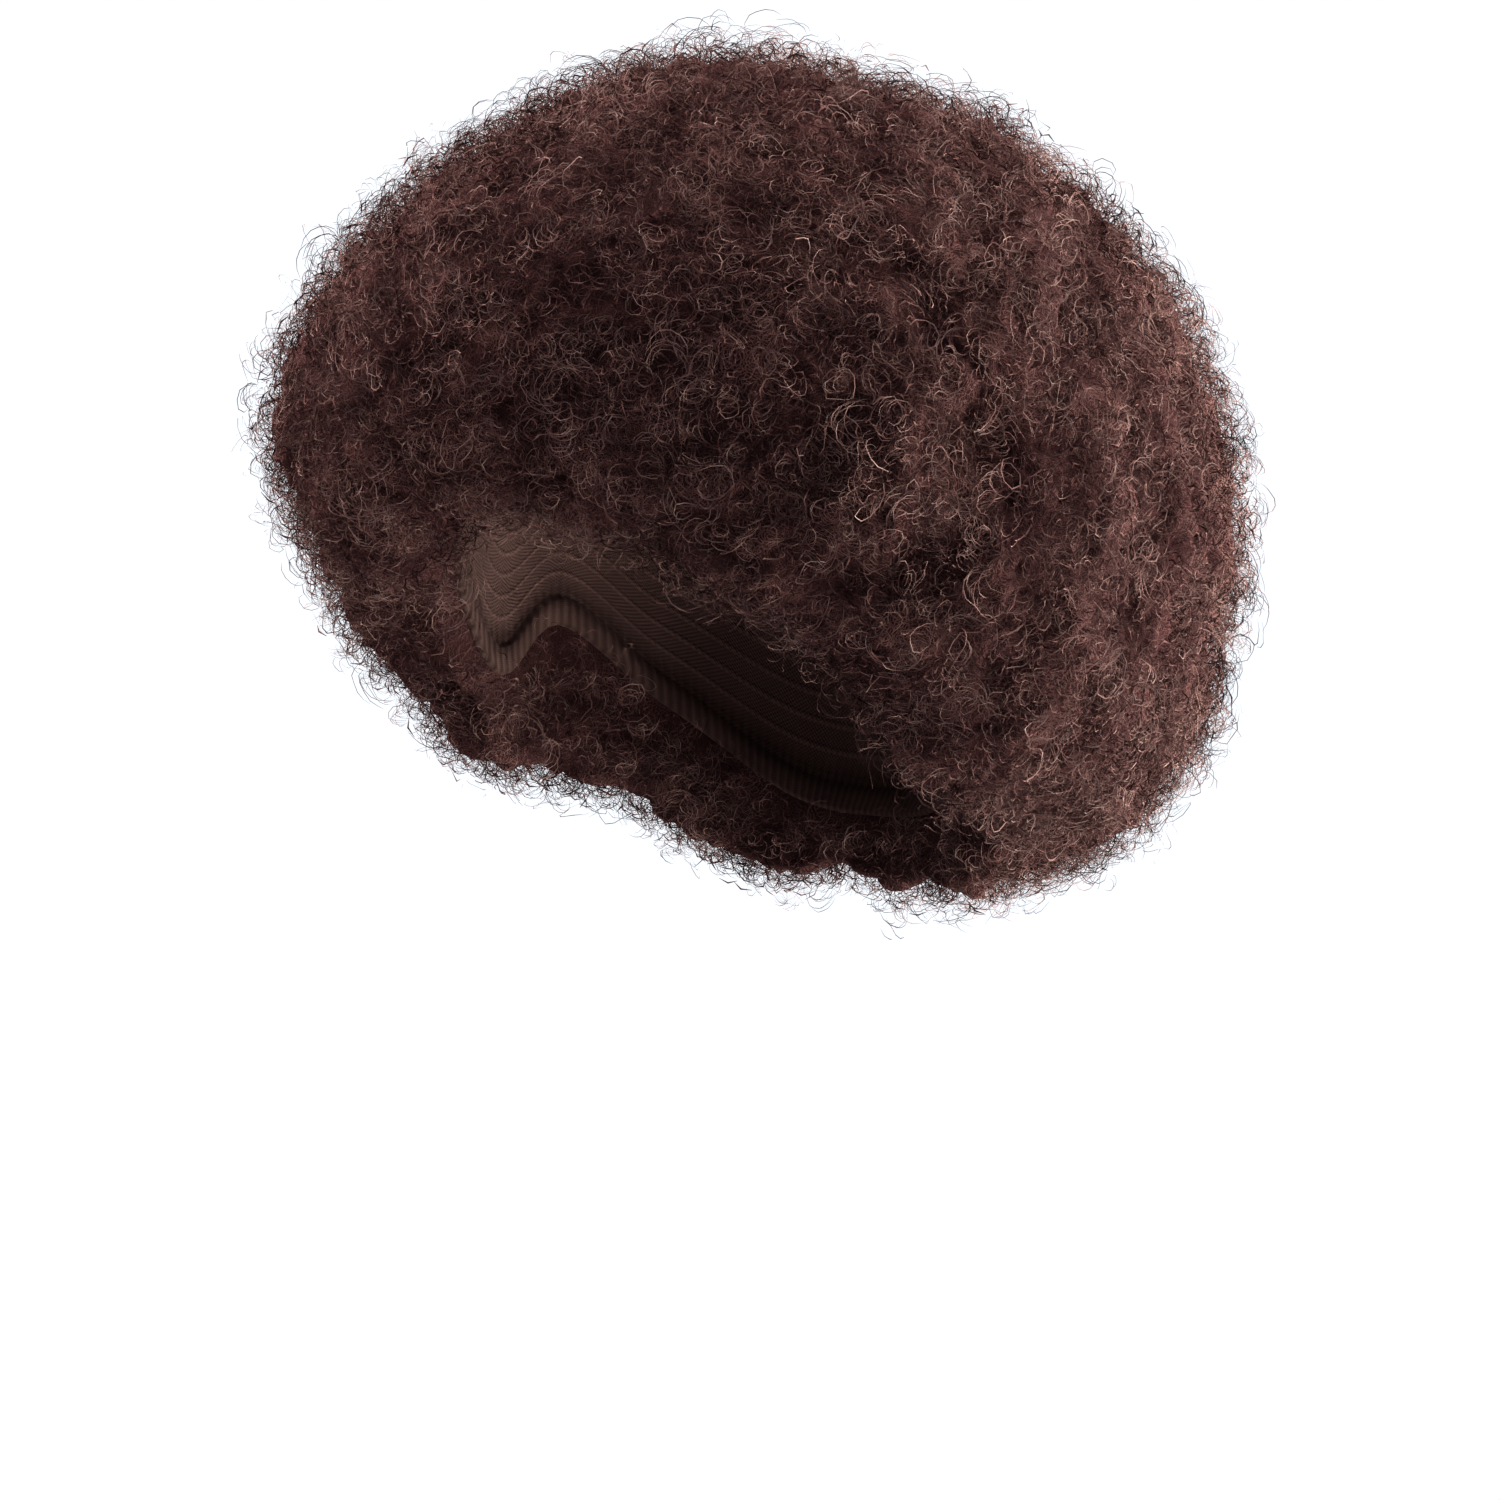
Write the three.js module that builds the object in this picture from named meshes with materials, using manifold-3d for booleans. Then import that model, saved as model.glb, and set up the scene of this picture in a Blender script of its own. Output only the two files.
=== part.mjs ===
// Afro wig: a stretch cap with six sections of dense curled hair sewn to it.
// Millimetres, +Z up. The wearer faces -Y, so the wearer's left is +X.
// The origin is the top of the head, where the inside of the cap's crown rests.
import * as THREE from "three";
import { mergeVertices } from "three/addons/utils/BufferGeometryUtils.js";
import manifoldModule from "manifold-3d";

const manifold = await manifoldModule();
manifold.setup();
const { Manifold, Mesh } = manifold;

// The head hollow: half of an egg with its own depth to the front and to the back.
const HEAD_HALF_WIDTH = 74;
const HEAD_FRONT = 92;
const HEAD_BACK = 98;
const HEAD_CROWN = 96;

// The cap and the gap that keeps the hair clear of it.
const CAP_WALL = 1.6;
const CAP_HEM_FOLD = 1.0;
const CAP_HEM_WIDTH = 8;
const HAIR_CLEARANCE = 0.3;

// The hair.
const HAIR_TOP = 74;
const HAIR_LIP = 9;
const LOCK_PITCH = 36;
const LOCK_ROWS = 10;
const GIRTH_TO_SIDE = 1.06;
const LOCK_RISE = 6.5;
const LOCK_ROOT = 5;
const LOCK_SPREAD = 0.66;
const LOCK_SEED = 11;
const SECTION_GAP = 0.4;

// Where the sections part: polar angles from straight up, and azimuths from the forehead.
const CROWN_POLAR = 40;
const NAPE_POLAR = 112;
const FRINGE_AZIMUTH = 47;
const SIDE_AZIMUTH = 122;

// How finely the curved forms are divided.
const COLUMNS = 40;
const OUTER_ROWS = 7;
const LOWER_ROWS = 4;
const CAP_ROWS = 8;
const LOCK_SIDES = 7;
const LOCK_RINGS = 5;
const LOCK_DETAIL = 1.1;
const SECTION_DETAIL = 0.1;

// One half of the wig in upright slices, from the forehead (0 degrees) round to the nape (180).
// reach: widest distance from the axis, at height belly. hem, hemReach: the lower edge.
// rim: height of the cap's edge. shoulder, undercut: roundness above and below the belly.
const SLICES = [
  { azimuth: 0, reach: 132, belly: -18, hem: -58, hemReach: 100, rim: -48, shoulder: 1.16, undercut: 0.95 },
  { azimuth: 35, reach: 134, belly: -28, hem: -76, hemReach: 97, rim: -58, shoulder: 1.2, undercut: 1.0 },
  { azimuth: 60, reach: 136, belly: -42, hem: -104, hemReach: 90, rim: -84, shoulder: 1.14, undercut: 1.15 },
  { azimuth: 78, reach: 137, belly: -52, hem: -134, hemReach: 87, rim: -110, shoulder: 1.06, undercut: 1.15 },
  { azimuth: 96, reach: 140, belly: -60, hem: -143, hemReach: 87, rim: -96, shoulder: 1.02, undercut: 1.05 },
  { azimuth: 120, reach: 150, belly: -66, hem: -154, hemReach: 86, rim: -122, shoulder: 1.0, undercut: 0.9 },
  { azimuth: 150, reach: 163, belly: -68, hem: -177, hemReach: 84, rim: -150, shoulder: 1.0, undercut: 0.8 },
  { azimuth: 180, reach: 168, belly: -68, hem: -180, hemReach: 82, rim: -156, shoulder: 1.0, undercut: 0.8 },
];

const HAIR_COLOUR = 0x3a2623;
const CAP_COLOUR = 0x2b1c1a;
const RADIANS = Math.PI / 180;

// A slice at any azimuth: a smooth curve through the table, level at both ends.
function sliceAt(azimuth) {
  const turn = Math.abs(((azimuth + 540) % 360) - 180);
  const last = SLICES.length - 1;
  let index = 0;
  while (index < last - 1 && SLICES[index + 1].azimuth <= turn) {
    index += 1;
  }
  const from = SLICES[index];
  const to = SLICES[index + 1];
  const span = to.azimuth - from.azimuth;
  const t = (turn - from.azimuth) / span;
  const slope = (place, key) => {
    if (place === 0 || place === last) {
      return 0;
    }
    const before = SLICES[place - 1];
    const after = SLICES[place + 1];
    return (after[key] - before[key]) / (after.azimuth - before.azimuth);
  };
  const slice = { azimuth };
  for (const key of Object.keys(from)) {
    if (key === "azimuth") {
      continue;
    }
    const startPull = (2 * t ** 3 - 3 * t ** 2 + 1) * from[key];
    const endPull = (3 * t ** 2 - 2 * t ** 3) * to[key];
    const startSlope = (t ** 3 - 2 * t ** 2 + t) * span * slope(index, key);
    const endSlope = (t ** 3 - t ** 2) * span * slope(index + 1, key);
    slice[key] = startPull + endPull + startSlope + endSlope;
  }
  return slice;
}

// A point at a distance from the upright axis, in the direction of an azimuth.
function place(azimuth, radius, z) {
  const angle = azimuth * RADIANS;
  return new THREE.Vector3(radius * Math.sin(angle), -radius * Math.cos(angle), z);
}

// The egg of the head, grown outward, at a polar angle in degrees.
function headPoint(azimuth, polar, growth) {
  const angle = azimuth * RADIANS;
  const depth = Math.cos(angle) > 0 ? HEAD_FRONT : HEAD_BACK;
  const ring = Math.sin(polar * RADIANS);
  const x = (HEAD_HALF_WIDTH + growth) * ring * Math.sin(angle);
  const y = -(depth + growth) * ring * Math.cos(angle);
  const z = (HEAD_CROWN + growth) * Math.cos(polar * RADIANS) - HEAD_CROWN;
  return new THREE.Vector3(x, y, z);
}

// Polar angle of one of the cap's rings: the last is the rim, the one before it the top of the folded hem.
function ringPolar(azimuth, ring) {
  const rim = Math.acos(1 + sliceAt(azimuth).rim / HEAD_CROWN) / RADIANS;
  const fold = rim - CAP_HEM_WIDTH / HEAD_CROWN / RADIANS;
  return ring === CAP_ROWS ? rim : (fold * (ring + 1)) / CAP_ROWS;
}

// The hair's outer form, sunk by a depth: along 0 is the crown, 1 the belly and 2 the hem.
function hairPoint(azimuth, along, sunk) {
  const slice = sliceAt(azimuth);
  const reach = slice.reach - sunk;
  const top = HAIR_TOP - sunk;
  if (along <= 1) {
    const angle = (along * Math.PI) / 2;
    const radius = reach * Math.sin(angle) ** slice.shoulder;
    const z = slice.belly + (top - slice.belly) * Math.max(Math.cos(angle), 0) ** slice.shoulder;
    return place(azimuth, radius, z);
  }
  const angle = ((along - 1) * Math.PI) / 2;
  const inset = slice.hemReach - sunk * 0.5;
  const radius = inset + (reach - inset) * Math.max(Math.cos(angle), 0) ** slice.undercut;
  const z = slice.belly + (slice.hem + sunk * 0.5 - slice.belly) * Math.sin(angle) ** slice.undercut;
  return place(azimuth, radius, z);
}

// A closed form from rings of points between two poles on the axis, listed from the top down.
function ringSolid(topPole, bottomPole, rows, pointAt) {
  const points = [topPole];
  for (let row = 0; row < rows; row += 1) {
    for (let column = 0; column < COLUMNS; column += 1) {
      points.push(pointAt((column * 360) / COLUMNS, row));
    }
  }
  points.push(bottomPole);
  const bottom = points.length - 1;
  const ringIndex = (row, column) => 1 + row * COLUMNS + (column % COLUMNS);
  const faces = [];
  for (let column = 0; column < COLUMNS; column += 1) {
    faces.push(0, ringIndex(0, column), ringIndex(0, column + 1));
    for (let row = 0; row < rows - 1; row += 1) {
      const upperLeft = ringIndex(row, column);
      const upperRight = ringIndex(row, column + 1);
      const lowerLeft = ringIndex(row + 1, column);
      const lowerRight = ringIndex(row + 1, column + 1);
      faces.push(lowerLeft, lowerRight, upperRight, lowerLeft, upperRight, upperLeft);
    }
    faces.push(bottom, ringIndex(rows - 1, column + 1), ringIndex(rows - 1, column));
  }
  const geometry = new THREE.BufferGeometry().setFromPoints(points);
  geometry.setIndex(faces);
  return geometry;
}

// Geometry to a solid that can be joined and cut, and back.
function toSolid(geometry) {
  const bare = new THREE.BufferGeometry();
  bare.setAttribute("position", geometry.getAttribute("position"));
  bare.setIndex(geometry.getIndex());
  const welded = mergeVertices(bare, 1e-4);
  const vertProperties = new Float32Array(welded.getAttribute("position").array);
  const triVerts = new Uint32Array(welded.getIndex().array);
  return new Manifold(new Mesh({ numProp: 3, vertProperties, triVerts }));
}

function toGeometry(solid) {
  const { numProp, vertProperties, triVerts } = solid.getMesh();
  const positions = [];
  for (let index = 0; index < vertProperties.length; index += numProp) {
    positions.push(vertProperties[index], vertProperties[index + 1], vertProperties[index + 2]);
  }
  const geometry = new THREE.BufferGeometry();
  geometry.setAttribute("position", new THREE.Float32BufferAttribute(positions, 3));
  geometry.setIndex(Array.from(triVerts));
  geometry.computeVertexNormals();
  return geometry;
}

// The same scatter every time.
function makeRandom(seed) {
  let state = seed;
  return () => {
    state = (state * 16807) % 2147483647;
    return state / 2147483647;
  };
}

// The cap: down its outside, round the folded hem and up its inside.
function makeCap() {
  const rings = CAP_ROWS + 1;
  const pointAt = (azimuth, row) => {
    if (row < rings) {
      return headPoint(azimuth, ringPolar(azimuth, row), CAP_WALL);
    }
    const ring = 2 * rings - 1 - row;
    const growth = ring >= CAP_ROWS - 1 ? -CAP_HEM_FOLD : 0;
    return headPoint(azimuth, ringPolar(azimuth, ring), growth);
  };
  return ringSolid(new THREE.Vector3(0, 0, CAP_WALL), new THREE.Vector3(0, 0, 0), 2 * rings, pointAt);
}

// What the hair must leave free: the cap, and below its rim the way in for the head and the ears.
function makeHollow() {
  const growth = CAP_WALL + HAIR_CLEARANCE;
  const depth = -260;
  const pointAt = (azimuth, row) => {
    const slice = sliceAt(azimuth);
    if (row <= CAP_ROWS) {
      return headPoint(azimuth, ringPolar(azimuth, row), growth);
    }
    const inner = slice.hemReach - HAIR_LIP;
    return place(azimuth, inner, row === CAP_ROWS + 1 ? slice.hem - 2 : depth);
  };
  const apex = new THREE.Vector3(0, 0, growth);
  return ringSolid(apex, new THREE.Vector3(0, 0, depth), CAP_ROWS + 3, pointAt);
}

// The backing that the locks stand on, filled; the hollow is cut out of it afterwards.
function makeBacking() {
  const rows = OUTER_ROWS + LOWER_ROWS;
  const pointAt = (azimuth, row) => {
    const along = row < OUTER_ROWS ? (row + 1) / OUTER_ROWS : 1 + (row + 1 - OUTER_ROWS) / LOWER_ROWS;
    return hairPoint(azimuth, along, LOCK_RISE + LOCK_ROOT);
  };
  const apex = new THREE.Vector3(0, 0, HAIR_TOP - LOCK_RISE - LOCK_ROOT);
  return ringSolid(apex, new THREE.Vector3(0, 0, -HEAD_CROWN), rows, pointAt);
}

// Place along a slice at a share of the way from crown to hem, measured on the surface.
function alongAt(azimuth, share) {
  const steps = 80;
  const lengths = [0];
  for (let step = 1; step <= steps; step += 1) {
    const before = hairPoint(azimuth, (2 * (step - 1)) / steps, LOCK_RISE);
    const here = hairPoint(azimuth, (2 * step) / steps, LOCK_RISE);
    lengths.push(lengths[step - 1] + here.distanceTo(before));
  }
  const target = lengths[steps] * share;
  const step = Math.max(lengths.findIndex((length) => length >= target), 1);
  const rest = (target - lengths[step - 1]) / (lengths[step] - lengths[step - 1]);
  return (2 * (step - 1 + rest)) / steps;
}

// Round locks in rows from crown to hem, each row turned against the one above.
function makeLocks() {
  const random = makeRandom(LOCK_SEED);
  const locks = [];
  for (let row = 0; row < LOCK_ROWS; row += 1) {
    const share = row / (LOCK_ROWS - 1);
    const side = hairPoint(90, alongAt(90, share), LOCK_RISE);
    const girth = 2 * Math.PI * Math.hypot(side.x, side.y) * GIRTH_TO_SIDE;
    const count = Math.max(1, Math.round(girth / LOCK_PITCH));
    for (let turn = 0; turn < count; turn += 1) {
      const azimuth = ((turn + (row % 2) * 0.5 + (random() - 0.5) * 0.36) * 360) / count;
      const jitter = row === 0 ? 0 : (random() - 0.5) * 0.2;
      const along = alongAt(azimuth, Math.min(share + jitter / LOCK_ROWS, 0.985));
      locks.push(makeLock(azimuth, along, count, random));
    }
  }
  return locks;
}

function makeLock(azimuth, along, count, random) {
  const centre = hairPoint(azimuth, along, LOCK_RISE);
  const across = hairPoint(azimuth + 2, along, LOCK_RISE).sub(hairPoint(azimuth - 2, along, LOCK_RISE));
  const upper = hairPoint(azimuth, Math.max(along - 0.03, 0), LOCK_RISE);
  const lower = hairPoint(azimuth, Math.min(along + 0.03, 2), LOCK_RISE);
  const upward = upper.clone().sub(lower);
  const outward = count === 1 ? new THREE.Vector3(0, 0, 1) : across.clone().cross(upward).normalize();
  const spread = count === 1 ? LOCK_PITCH : (across.length() / 4) * (360 / count);
  const radius = LOCK_SPREAD * spread * (0.92 + random() * 0.18);
  const rise = LOCK_RISE * (0.75 + random() * 0.35);
  const lock = new THREE.SphereGeometry(1, LOCK_SIDES, LOCK_RINGS);
  lock.rotateX(Math.PI / 2);
  lock.rotateZ(random() * Math.PI);
  lock.scale(radius, radius, rise + radius * 0.35);
  lock.applyQuaternion(new THREE.Quaternion().setFromUnitVectors(new THREE.Vector3(0, 0, 1), outward));
  const sink = outward.clone().multiplyScalar(-radius * 0.35);
  lock.translate(centre.x + sink.x, centre.y + sink.y, centre.z + sink.z);
  return lock;
}

// A wedge of space seen from the middle of the head, to cut out one section.
function sectorSolid(azimuthFrom, azimuthTo, polarFrom, polarTo) {
  const far = 420;
  const middle = new THREE.Vector3(0, 0, -HEAD_CROWN);
  const inset = SECTION_GAP / 2 / HEAD_HALF_WIDTH / RADIANS;
  const start = azimuthFrom + inset;
  const end = azimuthTo - inset;
  const high = polarFrom + inset;
  const low = polarTo - inset;
  const acrossSteps = Math.ceil((end - start) / 12);
  const downSteps = Math.ceil((low - high) / 12);
  const points = [middle];
  for (let down = 0; down <= downSteps; down += 1) {
    const polar = (high + ((low - high) * down) / downSteps) * RADIANS;
    for (let across = 0; across <= acrossSteps; across += 1) {
      const azimuth = start + ((end - start) * across) / acrossSteps;
      points.push(place(azimuth, far * Math.sin(polar), far * Math.cos(polar) - HEAD_CROWN));
    }
  }
  const at = (down, across) => 1 + down * (acrossSteps + 1) + across;
  const faces = [];
  for (let down = 0; down < downSteps; down += 1) {
    for (let across = 0; across < acrossSteps; across += 1) {
      const lowerRight = at(down + 1, across + 1);
      faces.push(at(down + 1, across), lowerRight, at(down, across));
      faces.push(at(down, across), lowerRight, at(down, across + 1));
    }
    faces.push(0, at(down + 1, 0), at(down, 0));
    faces.push(0, at(down, acrossSteps), at(down + 1, acrossSteps));
  }
  for (let across = 0; across < acrossSteps; across += 1) {
    faces.push(0, at(0, across), at(0, across + 1));
    faces.push(0, at(downSteps, across + 1), at(downSteps, across));
  }
  const geometry = new THREE.BufferGeometry().setFromPoints(points);
  geometry.setIndex(faces);
  return toSolid(geometry);
}

// The crown's section goes all the way round, so it is a cone standing on its point.
function crownSolid() {
  const far = 420;
  const polar = CROWN_POLAR * RADIANS - SECTION_GAP / 2 / HEAD_HALF_WIDTH;
  const outline = [
    new THREE.Vector2(0, 0),
    new THREE.Vector2(far * Math.sin(polar), far * Math.cos(polar)),
    new THREE.Vector2(0, far * Math.cos(polar)),
  ];
  const cone = new THREE.LatheGeometry(outline, COLUMNS);
  cone.rotateX(Math.PI / 2);
  cone.translate(0, 0, -HEAD_CROWN);
  return toSolid(cone);
}

// Slivers cut off at a section's edge are dropped.
function largestBody(solid) {
  const bodies = solid.decompose();
  bodies.sort((a, b) => b.volume() - a.volume());
  return bodies[0];
}

function makeMesh(name, geometry, colour, roughness) {
  const material = new THREE.MeshStandardMaterial({ color: colour, roughness, metalness: 0 });
  const mesh = new THREE.Mesh(geometry, material);
  mesh.name = name;
  return mesh;
}

const group = new THREE.Group();
group.name = "afro_wig";
group.add(makeMesh("wig_cap", makeCap(), CAP_COLOUR, 0.9));

const locks = makeLocks().map(toSolid);
const outside = Manifold.union([toSolid(makeBacking()), ...locks]).asOriginal().simplify(LOCK_DETAIL);
const hair = outside.subtract(toSolid(makeHollow()));
const sections = [
  { name: "hair_crown", space: crownSolid() },
  { name: "hair_fringe", space: sectorSolid(-FRINGE_AZIMUTH, FRINGE_AZIMUTH, CROWN_POLAR, 175) },
  { name: "hair_side_left", space: sectorSolid(FRINGE_AZIMUTH, SIDE_AZIMUTH, CROWN_POLAR, 175) },
  { name: "hair_side_right", space: sectorSolid(-SIDE_AZIMUTH, -FRINGE_AZIMUTH, CROWN_POLAR, 175) },
  { name: "hair_back", space: sectorSolid(SIDE_AZIMUTH, 360 - SIDE_AZIMUTH, CROWN_POLAR, NAPE_POLAR) },
  { name: "hair_nape", space: sectorSolid(SIDE_AZIMUTH, 360 - SIDE_AZIMUTH, NAPE_POLAR, 175) },
];
for (const section of sections) {
  const body = largestBody(hair.intersect(section.space)).asOriginal().simplify(SECTION_DETAIL);
  group.add(makeMesh(section.name, toGeometry(body), HAIR_COLOUR, 0.8));
}

export default group;
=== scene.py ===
# %% [markdown]
# An afro wig is a thin stretch cap with a ball of tight curls sewn all over it.
# This lesson builds it in the order in which the eye needs it: the soft mass of the hair,
# the curls that stand out of the mass, the cap inside, and last the light and the floor.
# Everything is in metres, +Z is up, the wearer faces -Y and the origin is the top of the head.

# %% Load the measured frame
import math

import bmesh
import bpy
import numpy as np
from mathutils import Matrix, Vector
from mathutils.bvhtree import BVHTree


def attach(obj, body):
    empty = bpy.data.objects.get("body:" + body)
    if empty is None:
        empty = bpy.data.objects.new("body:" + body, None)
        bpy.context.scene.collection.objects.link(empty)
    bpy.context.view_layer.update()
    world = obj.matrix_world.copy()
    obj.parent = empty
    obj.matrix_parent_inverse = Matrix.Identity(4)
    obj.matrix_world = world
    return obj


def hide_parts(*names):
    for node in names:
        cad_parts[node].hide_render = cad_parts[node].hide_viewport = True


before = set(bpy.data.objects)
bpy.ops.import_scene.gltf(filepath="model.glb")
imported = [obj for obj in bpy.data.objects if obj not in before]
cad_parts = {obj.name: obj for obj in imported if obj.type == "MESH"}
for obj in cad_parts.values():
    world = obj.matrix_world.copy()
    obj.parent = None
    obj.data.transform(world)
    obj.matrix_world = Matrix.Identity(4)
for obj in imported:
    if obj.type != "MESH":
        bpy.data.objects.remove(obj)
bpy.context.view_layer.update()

# %% [markdown]
# The camera comes first, because every later step is judged through it.
# The picture was taken with a long lens, a little above the ear and about 37 degrees
# to the wearer's left, so the camera is placed by those angles and a distance.

# %% Camera
CAMERA_AZIMUTH = 37
CAMERA_ELEVATION = 5
CAMERA_DISTANCE = 1.045
CAMERA_TARGET = Vector((0.0052, 0.0039, -0.131))
CAMERA_LENS = 85
NEAREST_SEEN = 0.05


def direction(azimuth, elevation):
    turn = math.radians(azimuth)
    lift = math.radians(elevation)
    level = math.cos(lift)
    return Vector((level * math.sin(turn), -level * math.cos(turn), math.sin(lift)))


def aim(thing, target):
    thing.rotation_euler = (target - thing.location).to_track_quat("-Z", "Y").to_euler()


lens = bpy.data.cameras.new("camera")
lens.lens = CAMERA_LENS
lens.clip_start = NEAREST_SEEN
camera = bpy.data.objects.new("camera", lens)
bpy.context.collection.objects.link(camera)
camera.location = CAMERA_TARGET + CAMERA_DISTANCE * direction(CAMERA_AZIMUTH, CAMERA_ELEVATION)
aim(camera, CAMERA_TARGET)
bpy.context.scene.camera = camera
print("camera at", [round(v, 3) for v in camera.location])

# %% [markdown]
# On the real wig no parting shows between the sewn sections, so the measured sections are
# grown together into one closed skin. Joining them by hand would leave seams. A voxel remesh
# gives even faces without any, and smoothing takes the hard edges off the measured locks, so
# that only their soft swell is left.

# %% One skin from the measured sections
HAIR_NODES = ("hair_crown", "hair_fringe", "hair_side_left", "hair_side_right", "hair_back", "hair_nape")
SAME_POINT = 1e-6
SEAM_OVERLAP = 0.0004
SKIN_VOXEL = 0.0029
SKIN_SOFTENING = 26


def new_piece(name, mesh):
    piece = bpy.data.objects.new(name, mesh)
    bpy.context.collection.objects.link(piece)
    return piece


def skin_of_sections():
    form = bmesh.new()
    for name in HAIR_NODES:
        form.from_mesh(bpy.data.objects[name].data)
    bmesh.ops.remove_doubles(form, verts=form.verts, dist=SAME_POINT)
    form.normal_update()
    for vertex in form.verts:
        vertex.co += vertex.normal * SEAM_OVERLAP
    mesh = bpy.data.meshes.new("hair_skin")
    form.to_mesh(mesh)
    form.free()
    skin = new_piece("hair_skin", mesh)
    remesh = skin.modifiers.new("even_faces", "REMESH")
    remesh.mode = "VOXEL"
    remesh.voxel_size = SKIN_VOXEL
    soften = skin.modifiers.new("soften", "SMOOTH")
    soften.factor = 0.5
    soften.iterations = SKIN_SOFTENING
    graph = bpy.context.evaluated_depsgraph_get()
    even = bpy.data.meshes.new_from_object(skin.evaluated_get(graph), depsgraph=graph)
    skin.modifiers.clear()
    skin.data = even
    return skin


hair_skin = skin_of_sections()
print("hair skin:", len(hair_skin.data.vertices), "points")

# %% [markdown]
# The curls are too many for one piece, so each place on the ball belongs to a zone, and each
# zone becomes a piece. Zones are told apart by angles: down from the crown, and round from
# the face.

# %% Zones of the ball
HEAD_MIDDLE = Vector((0, 0, -0.096))
ZONES = ("crown_left", "crown_right", "fringe", "side_left", "side_right",
         "back_left", "back_right", "nape")
CROWN_POLAR = 40
NAPE_POLAR = 112
FRINGE_AZIMUTH = 47
SIDE_AZIMUTH = 122


def zone_numbers(polar, azimuth, left):
    def pair(name):
        return np.where(left, ZONES.index(name + "_left"), ZONES.index(name + "_right"))

    zones = pair("back")
    zones = np.where(polar > NAPE_POLAR, ZONES.index("nape"), zones)
    zones = np.where(azimuth < SIDE_AZIMUTH, pair("side"), zones)
    zones = np.where(azimuth < FRINGE_AZIMUTH, ZONES.index("fringe"), zones)
    return np.where(polar < CROWN_POLAR, pair("crown"), zones)


print("zones:", len(ZONES))

# %% [markdown]
# Six numbers are kept on every point of the skin. "growth" is 0 where the skin lies on the
# cap and 1 where curls can grow, "outside" is 1 where the hair stands free of the head,
# "room" is how far the skin may sink before it meets the cap, "under" is 1 where the hair
# faces down over the wearer's face and gets painted shade, as if the face shaded it, "hem" is 1
# along the lower edge, where curls hang, and "zone" is the number of the zone.

# %% Mark where hair grows
LEAST_COVER = 0.002
GROWTH_COVER = (0.001, 0.004)
FREE_COVER = (0.003, 0.012)
FACING_OUT = (-0.3, 0.3)
UNDER_SLOPE = (0.0, 0.9)
UNDER_BACK_LIMIT = 0.03
UNDER_FADE = (0.0, 0.06)
HEM_SLOPE = (0.15, 0.7)


def smooth_step(values, limits):
    low, high = limits
    share = np.clip((values - low) / (high - low), 0, 1)
    return share * share * (3 - 2 * share)


def mark_skin(mesh):
    cap = bpy.data.objects["wig_cap"].data
    cap_surface = BVHTree.FromPolygons([v.co for v in cap.vertices], [f.vertices for f in cap.polygons])
    points = np.array([v.co for v in mesh.vertices])
    normals = np.array([v.normal for v in mesh.vertices])
    from_cap = np.array([cap_surface.find_nearest(v.co)[3] for v in mesh.vertices])
    outward = points - np.array(HEAD_MIDDLE)
    outward /= np.linalg.norm(outward, axis=1)[:, None]
    facing = np.sum(outward * normals, axis=1)
    polar = np.degrees(np.arccos(np.clip(outward[:, 2], -1, 1)))
    azimuth = np.abs(np.degrees(np.arctan2(points[:, 0], -points[:, 1])))
    growth = smooth_step(from_cap, GROWTH_COVER)
    front = smooth_step(UNDER_BACK_LIMIT - points[:, 1], UNDER_FADE)
    kept = {
        "growth": growth,
        "outside": smooth_step(from_cap, FREE_COVER) * (0.5 + 0.5 * smooth_step(facing, FACING_OUT)),
        "room": np.clip(from_cap - LEAST_COVER, 0, None),
        # "under" marks where the fibre finish paints shade, as if the wearer's face shaded the hair
        "under": smooth_step(-normals[:, 2], UNDER_SLOPE) * front,
        "hem": growth * smooth_step(-normals[:, 2], HEM_SLOPE),
        "zone": zone_numbers(polar, azimuth, points[:, 0] > 0),
    }
    for name, values in kept.items():
        mesh.attributes.new(name, "FLOAT", "POINT").data.foreach_set("value", values.astype(np.float32))
    print("points that grow curls:", int(np.sum(growth > 0.5)), "of", len(growth))


mark_skin(hair_skin.data)

# %% [markdown]
# The wall against the cap is smooth and never seen, so it keeps few faces. A vertex group
# tells the Decimate modifier where it may take faces away.

# %% Few faces against the cap
HIDDEN_SHARE = 0.72
HIDDEN_GROWTH = 0.01
STRONGEST_PULL = 1000


def thin_hidden_wall(skin):
    count = len(skin.data.vertices)
    growth = np.empty(count, dtype=np.float32)
    skin.data.attributes["growth"].data.foreach_get("value", growth)
    hidden = skin.vertex_groups.new(name="hidden")
    hidden.add([int(i) for i in np.flatnonzero(growth < HIDDEN_GROWTH)], 1.0, "REPLACE")
    thin = skin.modifiers.new("thin", "DECIMATE")
    thin.ratio = 1 - HIDDEN_SHARE * float(np.mean(growth < HIDDEN_GROWTH))
    thin.vertex_group = "hidden"
    thin.vertex_group_factor = STRONGEST_PULL
    graph = bpy.context.evaluated_depsgraph_get()
    lighter = bpy.data.meshes.new_from_object(skin.evaluated_get(graph), preserve_all_data_layers=True,
                                              depsgraph=graph)
    skin.modifiers.clear()
    skin.vertex_groups.clear()
    skin.data = lighter
    print("hair skin:", count, "points, thinned to", len(lighter.vertices))


thin_hidden_wall(hair_skin)

# %% [markdown]
# From here on shapes and finishes are node trees. They could be drawn by hand in Blender's
# editors, but a script can be read and run again, so they are written as Python. A Signal is
# one output socket, and arithmetic on it adds the Math nodes, so a tree reads like a formula.

# %% Signals


def pick(sockets, key):
    if isinstance(key, int):
        return sockets[key]
    for socket in sockets:
        if socket.enabled and socket.name == key:
            return socket
    raise KeyError(key)


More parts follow.
